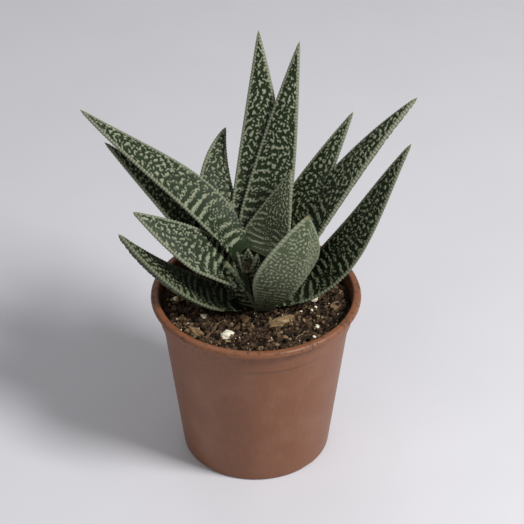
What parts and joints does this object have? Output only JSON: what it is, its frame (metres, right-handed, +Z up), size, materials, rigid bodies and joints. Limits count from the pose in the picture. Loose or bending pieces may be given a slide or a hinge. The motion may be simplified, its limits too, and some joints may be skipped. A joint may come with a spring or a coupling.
{
  "type": "potted rosette succulent",
  "caption": "Rosette succulent with thick keeled leaves banded by pale raised tubercles, growing from soil in a round tapered plastic nursery pot.",
  "frame": {"origin": "middle of the pot's underside, on the surface it stands on", "axes": "+Z up, -Y towards the side seen in front, +X to the right of that view"},
  "size_m": [0.1663, 0.1401, 0.2026],
  "materials": {
    "pot": "matte terracotta brown plastic",
    "soil": "moist crumbly peat and bark",
    "stem": "ringed by the scars of old leaves",
    "leaf": "satin dark green with raised pale grey-green tubercles",
    "perlite": "rough chalky white",
    "bark": "rough"
  },
  "bodies": {
    "root": {"bark_chip_1": "bark", "bark_chip_2": "bark", "bark_chip_3": "bark", "bark_chip_4": "bark", "leaf_01_old_base": "leaf", "leaf_02_left_low": "leaf", "leaf_03_front_cupped": "leaf", "leaf_04_right_upturned": "leaf", "leaf_05_back_low": "leaf", "leaf_06_left_under": "leaf", "leaf_07_back_left_low": "leaf", "leaf_08_back_left_inner": "leaf", "leaf_09_right_long": "leaf", "leaf_10_back_right": "leaf", "leaf_11_back_tall": "leaf", "leaf_12_back_tall_inner": "leaf", "leaf_13_left_long": "leaf", "leaf_14_left_broad": "leaf", "leaf_15_right_inner": "leaf", "leaf_16_left_heart": "leaf", "leaf_17_right_heart": "leaf", "leaf_18_heart": "leaf", "perlite_1": "perlite", "perlite_2": "perlite", "perlite_3": "perlite", "perlite_4": "perlite", "perlite_5": "perlite", "perlite_6": "perlite", "pot": "pot", "soil": "soil", "stem": "stem"}
  },
  "joints": []
}
